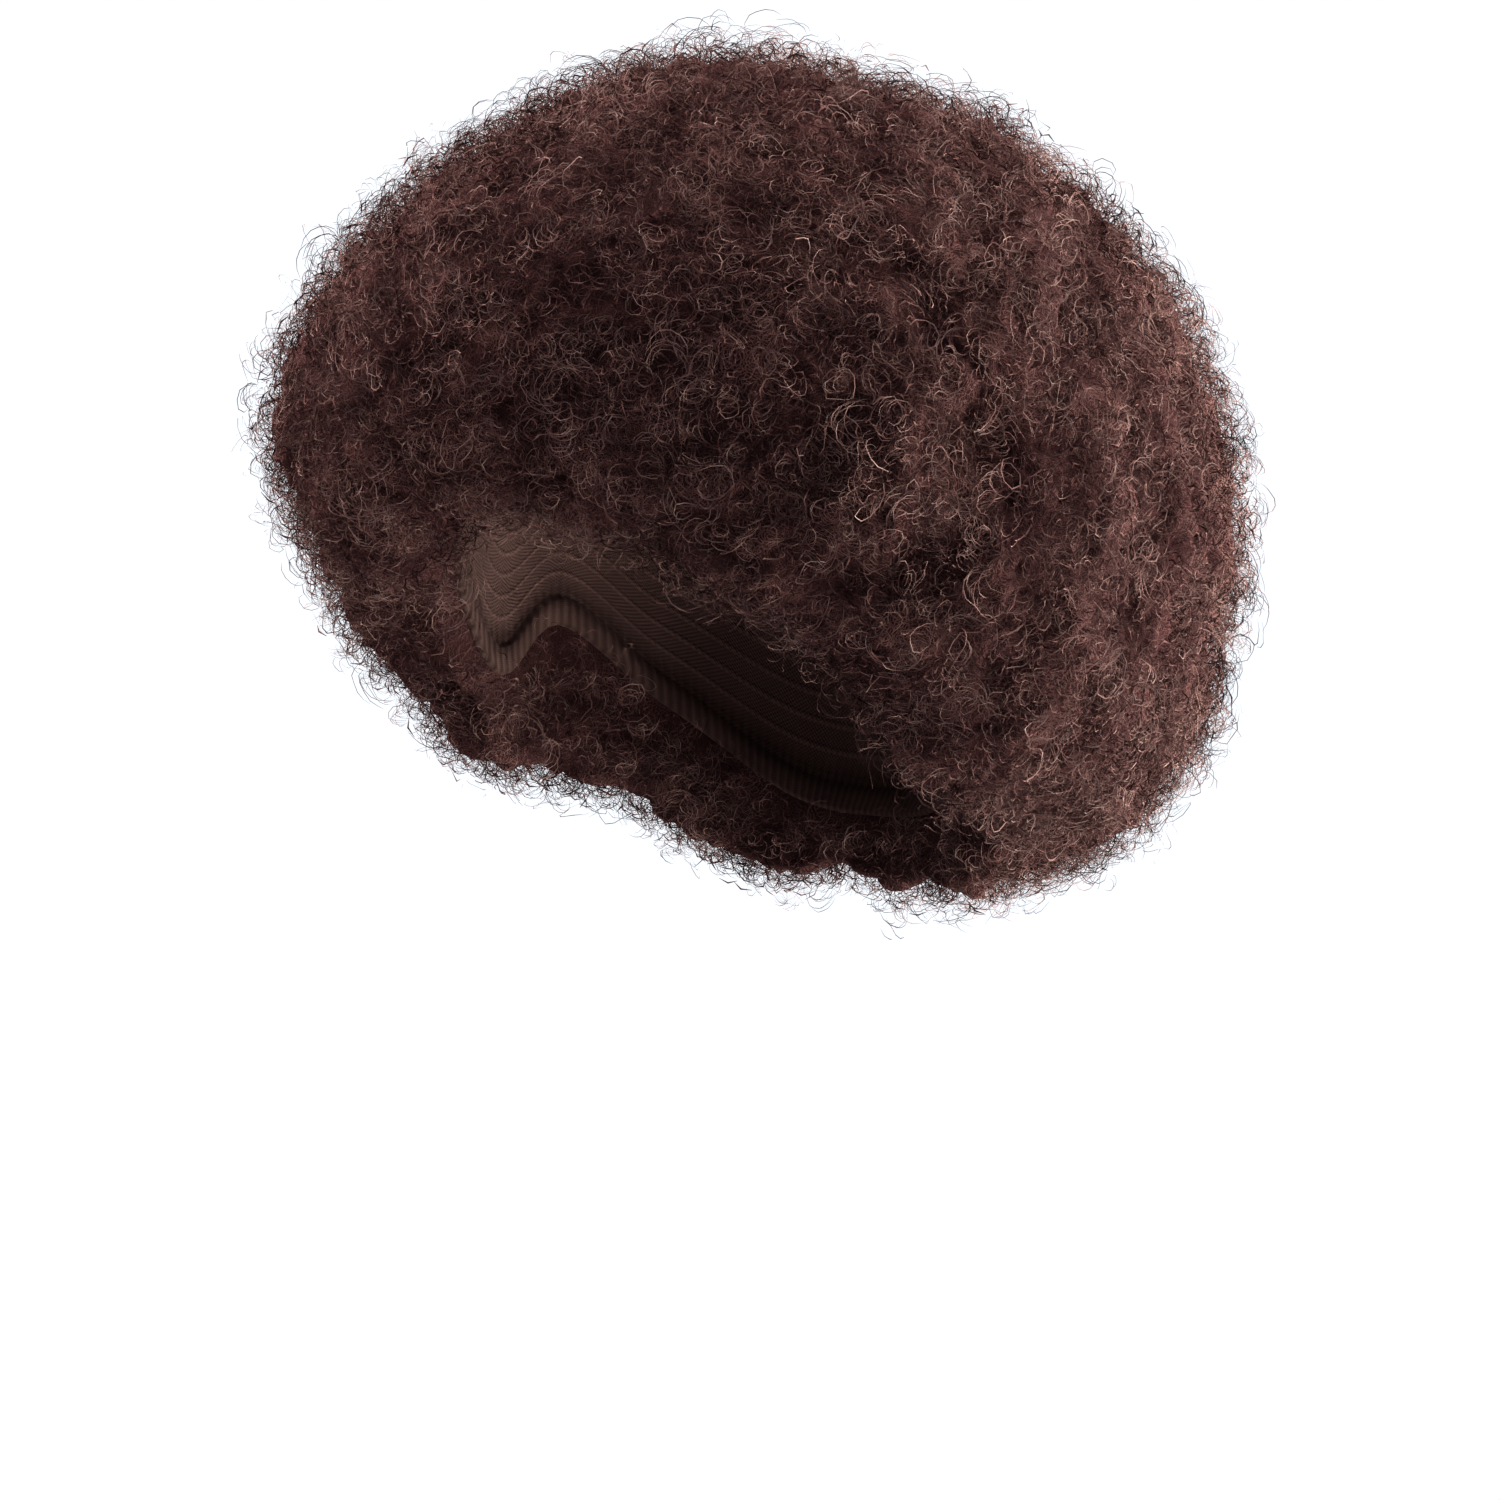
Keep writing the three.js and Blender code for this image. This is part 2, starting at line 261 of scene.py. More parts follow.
class Signal:
    def __init__(self, tree, node, socket):
        self.tree = tree
        self.node = node
        self.socket = socket

    def __getitem__(self, name):
        return Signal(self.tree, self.node, pick(self.node.outputs, name))

    def __add__(self, other):
        return self.tree.maths("ADD", self, other)

    def __radd__(self, other):
        return self.tree.maths("ADD", other, self)

    def __sub__(self, other):
        return self.tree.maths("SUBTRACT", self, other)

    def __rsub__(self, other):
        return self.tree.maths("SUBTRACT", other, self)

    def __mul__(self, other):
        return self.tree.maths("MULTIPLY", self, other)

    def __rmul__(self, other):
        return self.tree.maths("MULTIPLY", other, self)

    def __truediv__(self, other):
        return self.tree.maths("DIVIDE", self, other)

    def __rtruediv__(self, other):
        return self.tree.maths("DIVIDE", other, self)

    def __pow__(self, other):
        return self.tree.maths("POWER", self, other)

    def clamped(self):
        return self.tree.node("ShaderNodeClamp", {}, {"Value": self})


# %% [markdown]
# A NodeTree adds any other node with one method: its type, its settings and the values or
# links of its sockets. The nodes that are used most have short methods of their own.

# %% Node trees


class NodeTree:
    def __init__(self, tree):
        self.tree = tree

    def node(self, kind, settings=None, sockets=None, out=0):
        made = self.tree.nodes.new(kind)
        for name, value in (settings or {}).items():
            setattr(made, name, value)
        for key, value in (sockets or {}).items():
            socket = pick(made.inputs, key)
            if isinstance(value, Signal):
                self.tree.links.new(value.socket, socket)
            else:
                socket.default_value = value
        return Signal(self, made, pick(made.outputs, out) if made.outputs else None)

    def maths(self, operation, *values):
        return self.node("ShaderNodeMath", {"operation": operation}, dict(enumerate(values)))

    def vector(self, operation, *values, **named):
        sockets = dict(enumerate(values))
        sockets.update(named)
        return self.node("ShaderNodeVectorMath", {"operation": operation}, sockets)

    def mix_colour(self, factor, first, second):
        sockets = {"Factor": factor, "A": first, "B": second}
        return self.node("ShaderNodeMix", {"data_type": "RGBA"}, sockets, "Result")

    def noise(self, place, scale, detail, out):
        sockets = {"Vector": place, "Scale": scale, "Detail": detail}
        return self.node("ShaderNodeTexNoise", {}, sockets, out)

    def wander(self, place, scale, detail):
        """A push to all sides that changes from place to place, about half a unit at most."""
        return self.vector("SUBTRACT", self.noise(place, scale, detail, "Color"), (0.5, 0.5, 0.5))


# %% [markdown]
# Geometry Nodes need a few helpers of their own: to read a number that is kept on the points,
# to keep a new one, and to draw a random one. Each tree ends in the same way, with everything
# made real and given its finish.

# %% Geometry Nodes helpers
SOCKETS = {float: "NodeSocketFloat", int: "NodeSocketInt", "geometry": "NodeSocketGeometry",
           "material": "NodeSocketMaterial"}


class ShapeTree(NodeTree):
    def named(self, label, kind="FLOAT"):
        sockets = {"Name": label}
        return self.node("GeometryNodeInputNamedAttribute", {"data_type": kind}, sockets, "Attribute")

    def keep(self, geometry, label, value, kind="FLOAT", domain="POINT"):
        sockets = {"Geometry": geometry, "Name": label, "Value": value}
        return self.node("GeometryNodeStoreNamedAttribute", {"data_type": kind, "domain": domain}, sockets)

    def random(self, low, high, seed, kind="FLOAT"):
        sockets = {"Min": low, "Max": high, "Seed": seed}
        return self.node("FunctionNodeRandomValue", {"data_type": kind}, sockets, "Value")

    def moved(self, geometry, offset):
        return self.node("GeometryNodeSetPosition", {}, {"Geometry": geometry, "Offset": offset})

    def close(self, geometry, finish):
        smooth = self.node("GeometryNodeSetShadeSmooth", {}, {"Geometry": geometry})
        whole = self.node("GeometryNodeRealizeInstances", {}, {"Geometry": smooth})
        done = self.node("GeometryNodeSetMaterial", {}, {"Geometry": whole, "Material": finish})
        self.node("NodeGroupOutput", {}, {"Geometry": done})


def new_shape_tree(name, inputs):
    group = bpy.data.node_groups.new(name, "GeometryNodeTree")
    group.interface.new_socket("Geometry", in_out="INPUT", socket_type=SOCKETS["geometry"])
    for label, kind in inputs:
        group.interface.new_socket(label, in_out="INPUT", socket_type=SOCKETS[kind])
    group.interface.new_socket("Geometry", in_out="OUTPUT", socket_type=SOCKETS["geometry"])
    nodes = ShapeTree(group)
    return group, nodes, nodes.node("NodeGroupInput")


# %% [markdown]
# Up close the ball of hair is made of clumps the width of a thumb, and each clump is ruffled.
# Sculpting them would take long, and both are a rule on the surface, so Geometry Nodes push
# the skin in and out along its normal: rounded cells make the clumps and a finer noise makes
# the ruffle. The skin also sinks a little, because the curls that are added next stand out of
# it. How high a point lies on its clump is kept as "clump", for the finishes.

# %% Clumps and ruffle
CLUMP_WANDER = 45.0
CLUMP_DRIFT = 0.012
CLUMP_ROUNDING = 0.35
CELL_MIDDLE = 0.45


def make_tousle_tree():
    inputs = (("Clump size", float), ("Clump depth", float), ("Ruffle size", float),
              ("Ruffle depth", float), ("Sink", float), ("Finish", "material"))
    group, nodes, given = new_shape_tree("tousled_hair", inputs)
    place = nodes.node("GeometryNodeInputPosition")
    drift = nodes.vector("SCALE", nodes.wander(place, CLUMP_WANDER, 1.0), Scale=CLUMP_DRIFT)
    warped = nodes.vector("ADD", place, drift)
    cell_sockets = {"Vector": warped, "Scale": 1 / given["Clump size"], "Smoothness": CLUMP_ROUNDING}
    cells = nodes.node("ShaderNodeTexVoronoi", {"feature": "SMOOTH_F1"}, cell_sockets, "Distance")
    clump = (CELL_MIDDLE - cells) * 2
    ruffled = (nodes.noise(place, 1 / given["Ruffle size"], 2.0, "Fac") - 0.5) * 2
    lift = clump * given["Clump depth"] + ruffled * given["Ruffle depth"] - given["Sink"]
    push = nodes.maths("MAXIMUM", lift * nodes.named("outside"), 0 - nodes.named("room"))
    offset = nodes.vector("SCALE", nodes.node("GeometryNodeInputNormal"), Scale=push)
    # clump: height on the clump; the finishes use it to paint light on the tops and shade in the hollows
    height = (clump * 0.75 + ruffled * 0.35 + 0.5).clamped()
    kept = nodes.keep(given["Geometry"], "clump", height)
    nodes.close(nodes.moved(kept, offset), given["Finish"])
    return group


tousle_tree = make_tousle_tree()
print("tousle tree:", len(tousle_tree.nodes), "nodes")

# %% [markdown]
# Every finish here ends in one Principled shader, so two short helpers open a material and
# close it again. What is the same all over a surface is set on the shader's own sockets.

# %% Finish helpers


def new_finish(name):
    material = bpy.data.materials.new(name)
    material.use_nodes = True
    material.node_tree.nodes.clear()
    return material, NodeTree(material.node_tree)


def close_finish(nodes, sockets):
    surface = nodes.node("ShaderNodeBsdfPrincipled", {}, sockets)
    nodes.node("ShaderNodeOutputMaterial", {}, {"Surface": surface})


# %% [markdown]
# Between the curls one looks into the depth of the hair, which is nearly black with a red
# cast and has fine strands in it. A painted picture would stretch on the ball, so the strands
# are a rule in space: rings round scattered points, drawn three times at different sizes, look
# like strands of curls that lie across each other.

# %% Finish of the depth
DEPTH_DARK = (0.0078, 0.0029, 0.0031, 1)
DEPTH_LIGHT = (0.039, 0.0180, 0.0164, 1)
STRAND_RINGS = (
    # scale of the scattered points, rings to a cell, shift of the pattern
    (130.0, 8.5, 0.0),
    (190.0, 6.0, 0.37),
    (100.0, 11.0, 0.71),
)
STRAND_WANDER = 160.0
STRAND_DRIFT = 0.005
STRAND_LIMIT = 0.72
STRAND_EDGE = 3.6


def make_depth_finish():
    material, nodes = new_finish("hair_depth")
    place = nodes.node("ShaderNodeTexCoord", out="Object")
    drift = nodes.vector("SCALE", nodes.wander(place, STRAND_WANDER, 2.0), Scale=STRAND_DRIFT)
    warped = nodes.vector("ADD", place, drift)
    lines = None
    for scale, rings, shift in STRAND_RINGS:
        shifted = nodes.vector("ADD", warped, (shift, shift * 0.7, shift * 1.3))
        ring = nodes.node("ShaderNodeTexVoronoi", {}, {"Vector": shifted, "Scale": scale}, "Distance")
        wave = nodes.maths("SINE", ring * (rings * 2 * math.pi))
        strand = ((wave - STRAND_LIMIT) * STRAND_EDGE).clamped()
        lines = strand if lines is None else nodes.maths("MAXIMUM", lines, strand)
    clump = nodes.node("ShaderNodeAttribute", {"attribute_name": "clump"}, out="Fac")
    # Painted light and shade: the strands are lighter on the tops of the clumps and darker in the hollows
    shade = lines * (clump * 0.8 + 0.15)
    colour = nodes.mix_colour(shade, DEPTH_DARK, DEPTH_LIGHT)
    bump = nodes.node("ShaderNodeBump", {}, {"Strength": 0.7, "Distance": 0.0006, "Height": lines})
    close_finish(nodes, {"Base Color": colour, "Roughness": 0.8, "Specular IOR Level": 0.0, "Normal": bump})
    return material


depth_finish = make_depth_finish()
print("finish:", depth_finish.name)

# %% [markdown]
# A modifier carries a tree to a piece. Its inputs are set by identifier before the piece is
# first evaluated, and the result is turned into a plain mesh, because a model that leaves
# Blender keeps meshes and drops instances.

# %% Plain meshes


def shaped_mesh(start, group, values, name):
    modifier = start.modifiers.new(group.name, "NODES")
    modifier.node_group = group
    for item in group.interface.items_tree:
        if item.in_out == "INPUT" and item.name in values:
            modifier[item.identifier] = values[item.name]
    evaluated = start.evaluated_get(bpy.context.evaluated_depsgraph_get())
    mesh = bpy.data.meshes.new_from_object(evaluated, preserve_all_data_layers=True,
                                           depsgraph=bpy.context.evaluated_depsgraph_get())
    mesh.name = name
    start.modifiers.remove(modifier)
    return mesh


def triangle_count(mesh):
    return sum(len(face.vertices) - 2 for face in mesh.polygons)


# %% [markdown]
# Now the skin gets its clumps and its finish, and becomes the mass of the hair. It stands for
# all the measured sections at once.

# %% Mass of the hair
tousle = {"Clump size": 0.019, "Clump depth": 0.0036, "Ruffle size": 0.0058, "Ruffle depth": 0.0062,
          "Sink": 0.0038, "Finish": depth_finish}
hair_mass = new_piece("hair_mass", shaped_mesh(hair_skin, tousle_tree, tousle, "hair_mass"))
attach(hair_mass, "root")
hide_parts(*HAIR_NODES)
print("hair mass:", triangle_count(hair_mass.data), "triangles")

# %% [markdown]
# The curls are what makes the wig an afro. On the real wig each one is a short spring of fine
# fibres. Blender's hair curves would be the usual way to draw them, but a model that leaves
# Blender keeps only meshes, so every fibre here is a flat ribbon wound like a spring. The
# springs come in three families: curls, short arcs for the undercoat, and long loose ones.

# %% Shapes of the springs
CURL_SPIRALS = (
    # turns, first radius, last radius, height, points in a turn
    (0.70, 0.0038, 0.0034, 0.0018, 9),
    (1.05, 0.0030, 0.0026, 0.0035, 8),
    (0.50, 0.0048, 0.0042, 0.0020, 12),
    (0.40, 0.0062, 0.0054, 0.0025, 15),
    (0.60, 0.0028, 0.0026, 0.0012, 10),
    (0.80, 0.0033, 0.0027, 0.0024, 9),
)
UNDER_SPIRALS = (
    # the same columns
    (0.25, 0.0030, 0.0028, 0.0010, 8),
    (0.20, 0.0042, 0.0038, 0.0010, 10),
    (0.36, 0.0024, 0.0020, 0.0012, 6),
)
LOOSE_SPIRALS = (
    # the same columns
    (1.5, 0.0036, 0.0030, 0.0050, 10),
    (1.2, 0.0044, 0.0036, 0.0040, 11),
    (2.0, 0.0028, 0.0022, 0.0085, 8),
)
RIBBON_START = (-0.47, -0.17, 0)
RIBBON_END = (0.47, 0.17, 0)
SUNK_SHARE = 0.35
TIP_THINNING = 0.75


def spring_shapes(nodes, given, spirals):
    along = nodes.node("GeometryNodeSplineParameter", out="Factor")
    taper = 1 - nodes.maths("ABSOLUTE", along * 2 - 1) ** 3 * TIP_THINNING
    profile = nodes.node("GeometryNodeCurvePrimitiveLine", {}, {"Start": RIBBON_START, "End": RIBBON_END})
    profile = nodes.keep(profile, "side", nodes.node("GeometryNodeSplineParameter", out="Factor"))
    joined = nodes.node("GeometryNodeJoinGeometry")
    for turns, first, last, height, density in spirals:
        sizes = {"Resolution": density, "Rotations": turns, "Start Radius": first, "End Radius": last,
                 "Height": height}
        spiral = nodes.node("GeometryNodeCurveSpiral", {}, sizes)
        sunk = nodes.node("GeometryNodeTransform", {},
                          {"Geometry": spiral, "Translation": (0, 0, -SUNK_SHARE * height)})
        level = nodes.node("GeometryNodeSetCurveNormal", {"mode": "Z_UP"}, {"Curve": sunk})
        ribbon = nodes.node("GeometryNodeCurveToMesh", {},
                            {"Curve": nodes.keep(level, "along", along), "Profile Curve": profile,
                             "Scale": taper * given["Ribbon width"]})
        single = nodes.node("GeometryNodeGeometryToInstance", {}, {0: ribbon})
        nodes.tree.links.new(single.socket, joined.node.inputs[0])
    return joined


print("springs:", len(CURL_SPIRALS), "curls,", len(UNDER_SPIRALS), "arcs,", len(LOOSE_SPIRALS), "loose")

# %% [markdown]
# The fibres keep together in tufts, so points are scattered over the mass at a least distance
# from each other. Every tuft gets a direction near the surface's normal, a size, a kind of
# spring, a tone and a height over the mass. Its fibres are copies that share all of these,
# strayed a little.

# %% Tufts on the mass
MOST_TUFTS = 1200000.0
FULL_TURN = 6.283
RISE_POWER = 1.2
RISE_IN_HOLLOWS = 0.8
LESS_RISE_ON_TOPS = 0.2


def scatter_tufts(nodes, given, weight, kinds):
    seed = given["Seed"]
    belongs = nodes.node("FunctionNodeCompare", {"data_type": "FLOAT", "operation": "EQUAL"},
                         {"A": nodes.named("zone"), "B": given["Zone"],
                          "Epsilon": given["Zones either side"] + 0.5})
    tufts = nodes.node("GeometryNodeDistributePointsOnFaces", {"distribute_method": "POISSON"},
                       {"Mesh": given["Geometry"], "Selection": belongs,
                        "Distance Min": given["Tuft spacing"], "Density Max": MOST_TUFTS,
                        "Density Factor": nodes.named(weight), "Seed": seed})
    sideways = nodes.random((-1, -1, -1), (1, 1, 1), seed + 1, "FLOAT_VECTOR")
    axis = nodes.vector("ADD", tufts["Normal"], nodes.vector("SCALE", sideways, Scale=given["Lean"]))
    upright = nodes.node("FunctionNodeAlignRotationToVector", {"axis": "Z"}, {"Vector": axis})
    turn = nodes.node("FunctionNodeAxisAngleToRotation", {},
                      {"Axis": (0, 0, 1), "Angle": nodes.random(0.0, FULL_TURN, seed + 2)})
    turned = nodes.node("FunctionNodeRotateRotation", {"rotation_space": "LOCAL"},
                        {"Rotation": upright, "Rotate By": turn})
    points = nodes.keep(tufts["Points"], "turned", turned, "QUATERNION")
    points = nodes.keep(points, "size", nodes.random(given["Smallest"], given["Largest"], seed + 3))
    points = nodes.keep(points, "kind", nodes.random(0, kinds - 1, seed + 4, "INT"), "INT")
    points = nodes.keep(points, "tone", nodes.random(0.0, 1.0, seed + 5))
    points = nodes.keep(points, "rise", nodes.random(0.0, 1.0, seed + 9) ** RISE_POWER)
    most_rise = RISE_IN_HOLLOWS - LESS_RISE_ON_TOPS * nodes.named("clump")
    height = given["Least lift"] + nodes.named("rise") * most_rise * given["Lift"]
    return nodes.moved(points, nodes.vector("SCALE", tufts["Normal"], Scale=height))


def fibres_of_tufts(nodes, given, tufts):
    fibres = nodes.node("GeometryNodeDuplicateElements", {"domain": "POINT"},
                        {"Geometry": tufts, "Amount": given["Fibres in a tuft"]})
    any_way = nodes.random((-1, -1, -1), (1, 1, 1), given["Seed"] + 6, "FLOAT_VECTOR")
    strayed = nodes.moved(fibres, nodes.vector("SCALE", any_way, Scale=given["Stray"]))
    return nodes.keep(strayed, "number", nodes.node("GeometryNodeInputIndex"), "INT")


print("scattering at most", int(MOST_TUFTS), "tufts on a square metre")

# %% [markdown]
# A spring goes on each fibre's point, turned and sized as its tuft says. Then all the ribbons
# are bent by noise in two sizes, so that no two are alike. Each ribbon also gets a small field
# of its own in the chart that colours are baked to, by its number.

# %% Curl tree
CURL_INPUTS = (
    ("Zone", float), ("Zones either side", float), ("Tuft spacing", float), ("Fibres in a tuft", int),
    ("Ribbon width", float), ("Smallest", float), ("Largest", float), ("Lean", float), ("Stray", float),
    ("Least lift", float), ("Lift", float), ("Bend", float), ("Seed", int), ("Finish", "material"),
)
FIBRE_WOBBLE = (0.3, 0.3, 0.7)
FIBRE_SIZES = (0.8, 1.2)
WIDE_BEND = 75.0
FINE_BEND = 260.0
FINE_SHARE = 0.35
CHART_COLUMNS = 64
CHART_ROWS = 640
FIELD_START = (0.1, 0.25)
FIELD_SIZE = (0.8, 0.5)


def springs_on_fibres(nodes, given, fibres, springs):
    least = tuple(-angle for angle in FIBRE_WOBBLE)
    angles = nodes.random(least, FIBRE_WOBBLE, given["Seed"] + 7, "FLOAT_VECTOR")
    wobble = nodes.node("FunctionNodeEulerToRotation", {}, {"Euler": angles})
    pose = nodes.node("FunctionNodeRotateRotation", {"rotation_space": "LOCAL"},
                      {"Rotation": nodes.named("turned", "QUATERNION"), "Rotate By": wobble})
    size = nodes.named("size") * nodes.random(*FIBRE_SIZES, given["Seed"] + 8)
    curls = nodes.node("GeometryNodeInstanceOnPoints", {},
                       {"Points": fibres, "Instance": springs, "Pick Instance": True,
                        "Instance Index": nodes.named("kind", "INT"), "Rotation": pose, "Scale": size})
    return nodes.node("GeometryNodeRealizeInstances", {}, {"Geometry": curls})


def bent(nodes, given, ribbons):
    place = nodes.node("GeometryNodeInputPosition")
    fine = nodes.vector("SCALE", nodes.wander(place, FINE_BEND, 1.0), Scale=FINE_SHARE)
    bend = nodes.vector("ADD", nodes.wander(place, WIDE_BEND, 1.0), fine)
    return nodes.moved(ribbons, nodes.vector("SCALE", bend, Scale=given["Bend"]))


def charted(nodes, ribbons):
    row = nodes.maths("FLOOR", nodes.named("number") / CHART_COLUMNS)
    column = nodes.named("number") - row * CHART_COLUMNS
    across = (column + FIELD_START[0] + nodes.named("along") * FIELD_SIZE[0]) / CHART_COLUMNS
    up = (row + FIELD_START[1] + nodes.named("side") * FIELD_SIZE[1]) / CHART_ROWS
    chart = nodes.node("ShaderNodeCombineXYZ", {}, {"X": across, "Y": up, "Z": 0.0})
    return nodes.keep(ribbons, "OFBake", chart, "FLOAT2", "CORNER")


def make_curl_tree(name, spirals, weight):
    group, nodes, given = new_shape_tree(name, CURL_INPUTS)
    tufts = scatter_tufts(nodes, given, weight, len(spirals))
    fibres = fibres_of_tufts(nodes, given, tufts)
    ribbons = springs_on_fibres(nodes, given, fibres, spring_shapes(nodes, given, spirals))
    nodes.close(charted(nodes, bent(nodes, given, ribbons)), given["Finish"])
    return group


def add_curls(name, tree, values):
    curls = new_piece(name, shaped_mesh(hair_mass, tree, values, name))
    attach(curls, "root")
    print(name, triangle_count(curls.data), "triangles")


print("a curl tree has", len(CURL_INPUTS), "inputs")

# %% [markdown]
# A fibre of this hair is dark with a red cast. Painted light makes it lighter and less red on the
# tops of the clumps and in the tufts that stand highest, and painted shade darkens it where it
# faces down over the face. Real fibres glint where they turn to the light. A glint is too small for
# the shader to find on a ribbon, so a painted glint stands in: a paler tone swings along each
# fibre. The weights of all these were set against the picture.

# %% Finish of the fibres
DARK_FIBRE = (0.0086, 0.0031, 0.0034, 1)
UNDER_LIGHT = (0.036, 0.0168, 0.0150, 1)
UNDER_GLINT = 0.1
FIBRE_LIGHT = (0.057, 0.0297, 0.0266, 1)
FIBRE_GLINT = 0.36
GLINT_COLOUR = (0.140, 0.098, 0.087, 1)
DARK_SHARE = 0.72
PAINTED_SHADE_UNDER = 0.2
PATCH_SCALE = 30.0


def make_fibre_finish(name, light, glint_share):
    material, nodes = new_finish(name)

    def attribute(label):
        return nodes.node("ShaderNodeAttribute", {"attribute_name": label}, out="Fac")

    place = nodes.node("ShaderNodeTexCoord", out="Object")
    patch = nodes.noise(place, PATCH_SCALE, 2.0, "Fac")
    tone = attribute("tone")
    own = nodes.node("ShaderNodeTexWhiteNoise", {"noise_dimensions": "1D"},
                     {"W": attribute("number")}, "Value")
    # swing is a painted glint: a paler tone that comes and goes along each fibre
    swing = nodes.maths("SINE", attribute("along") * 8.0 + tone * 40.0 + own * 3.0) * 0.5 + 0.5
    # high is painted light on the tops of the clumps and on the highest tufts, and painted shade in the
    # hollows
    high = attribute("clump") * 0.65 + attribute("rise") * 0.3
    mixed = tone * 0.2 + own * 0.25 + patch * 0.6 + swing * 0.4 + high
    # Painted shade where the hair faces down over the wearer's face
    shade = (mixed - DARK_SHARE - attribute("under") * PAINTED_SHADE_UNDER).clamped()
    body = nodes.mix_colour(shade, DARK_FIBRE, light)
    # The glint colour is a painted highlight, strongest where the swing peaks
    colour = nodes.mix_colour(swing ** 4 * shade * glint_share, body, GLINT_COLOUR)
    close_finish(nodes, {"Base Color": colour, "Roughness": 0.6, "Specular IOR Level": 0.0})
    return material


under_finish = make_fibre_finish("hair_undercoat", UNDER_LIGHT, UNDER_GLINT)
fibre_finish = make_fibre_finish("hair_fibre", FIBRE_LIGHT, FIBRE_GLINT)
print("finishes:", under_finish.name, "and", fibre_finish.name)

# %% [markdown]
# The undercoat comes first: short arcs of fibre, wider than the rest, that lie close on the
# mass in all directions and cover it, so that nothing smooth shows between the curls. Three
# pieces are enough for it, and each takes a run of zones, from the first to the last.

# %% Undercoat
UNDER_ZONES = {
    "undercoat_crown": ("crown_left", "crown_right"),
    "undercoat_sides": ("fringe", "side_right"),
    "undercoat_back": ("back_left", "nape"),
}
UNDER_SEED = 700
SEED_STEP = 20
under_tree = make_curl_tree("undercoat", UNDER_SPIRALS, "growth")
for number, (name, run) in enumerate(UNDER_ZONES.items()):
    first, last = ZONES.index(run[0]), ZONES.index(run[1])
    under = {"Zone": (first + last) / 2, "Zones either side": (last - first) / 2, "Tuft spacing": 0.00145,
             "Fibres in a tuft": 1, "Ribbon width": 0.00042, "Smallest": 0.8, "Largest": 1.3, "Lean": 1.4,
             "Stray": 0.0, "Least lift": 0.0002, "Lift": 0.0086, "Bend": 0.0030,
             "Seed": UNDER_SEED + SEED_STEP * number, "Finish": under_finish}
    add_curls(name, under_tree, under)

# %% [markdown]
# Then come the single fibres, five to a tuft. The fibres of a tuft curl the same way
# side by side, as the fibres of one lock do, and they stand a little higher.

# %% Single fibres
CURL_SEED = 40
curl_tree = make_curl_tree("curls", CURL_SPIRALS, "growth")
for number, zone in enumerate(ZONES):
    dense = {"Zone": float(number), "Zones either side": 0.0, "Tuft spacing": 0.0045, "Fibres in a tuft": 5,
             "Ribbon width": 0.00018, "Smallest": 0.70, "Largest": 1.20, "Lean": 0.9, "Stray": 0.0028,
             "Least lift": 0.0014, "Lift": 0.0112, "Bend": 0.0032, "Seed": CURL_SEED + SEED_STEP * number,
             "Finish": fibre_finish}
    add_curls("curls_" + zone, curl_tree, dense)

# %% [markdown]
# Some fibres have worked loose all over. They are longer springs that stand out of the
# ball, and they make its edge soft. More of them hang from the lower edge. After them the
# plain skin has done its work and is removed.

# %% Loose curls
EVERY_ZONE = {"Zone": 3.5, "Zones either side": 10.0}
loose_tree = make_curl_tree("loose_curls", LOOSE_SPIRALS, "growth")
loose = {**EVERY_ZONE, "Tuft spacing": 0.0096, "Fibres in a tuft": 1, "Ribbon width": 0.0002,
         "Smallest": 0.8, "Largest": 1.3, "Lean": 1.1, "Stray": 0.0, "Least lift": 0.001, "Lift": 0.0135,
         "Bend": 0.007, "Seed": 400, "Finish": fibre_finish}
add_curls("loose_curls", loose_tree, loose)
hanging_tree = make_curl_tree("hanging_curls", LOOSE_SPIRALS, "hem")
hanging = {**loose, "Tuft spacing": 0.0052, "Lift": 0.005, "Lean": 0.7, "Seed": 500}
add_curls("hanging_curls", hanging_tree, hanging)
bpy.data.objects.remove(hair_skin)

# %% [markdown]
# The cap shows only from below and through the opening for the face. It is a plain stretch
# knit with a folded hem. Its edge rises over the forehead and the ears and drops at the ear
# tabs and the nape, and a few heights round the head, joined by a smooth curve, give that edge.

# %% Edge of the cap
CAP_RIM = (
    # degrees round from the face, height
    (0, -0.048), (35, -0.058), (60, -0.084), (78, -0.110), (96, -0.096), (120, -0.122), (150, -0.150),
    (180, -0.156),
)


def rim_height(azimuth):
    turn = abs((azimuth + 540) % 360 - 180)
    last = len(CAP_RIM) - 1
    index = max(i for i in range(last) if CAP_RIM[i][0] <= turn)

    def slope(place):
        if place in (0, last):
            return 0
        before, after = CAP_RIM[place - 1], CAP_RIM[place + 1]
        return (after[1] - before[1]) / (after[0] - before[0])

    start, end = CAP_RIM[index], CAP_RIM[index + 1]
    span = end[0] - start[0]
    share = (turn - start[0]) / span
    level = (2 * share ** 3 - 3 * share ** 2 + 1) * start[1] + (3 * share ** 2 - 2 * share ** 3) * end[1]
    leaving = (share ** 3 - 2 * share ** 2 + share) * slope(index)
    arriving = (share ** 3 - share ** 2) * slope(index + 1)
    return level + span * (leaving + arriving)


print("edge of the cap at the face and the nape:", rim_height(0), rim_height(180))

# %% [markdown]
# The cap's surface follows the measured head, so it is worked out from the head's size: one
# row of points from the crown down the outside, round the edge, over the hem and up the
# inside. A Solidify modifier on a single sheet would give the wall, but not the folded hem.
# Each place in a row is an angle down from the crown and a growth past the head.

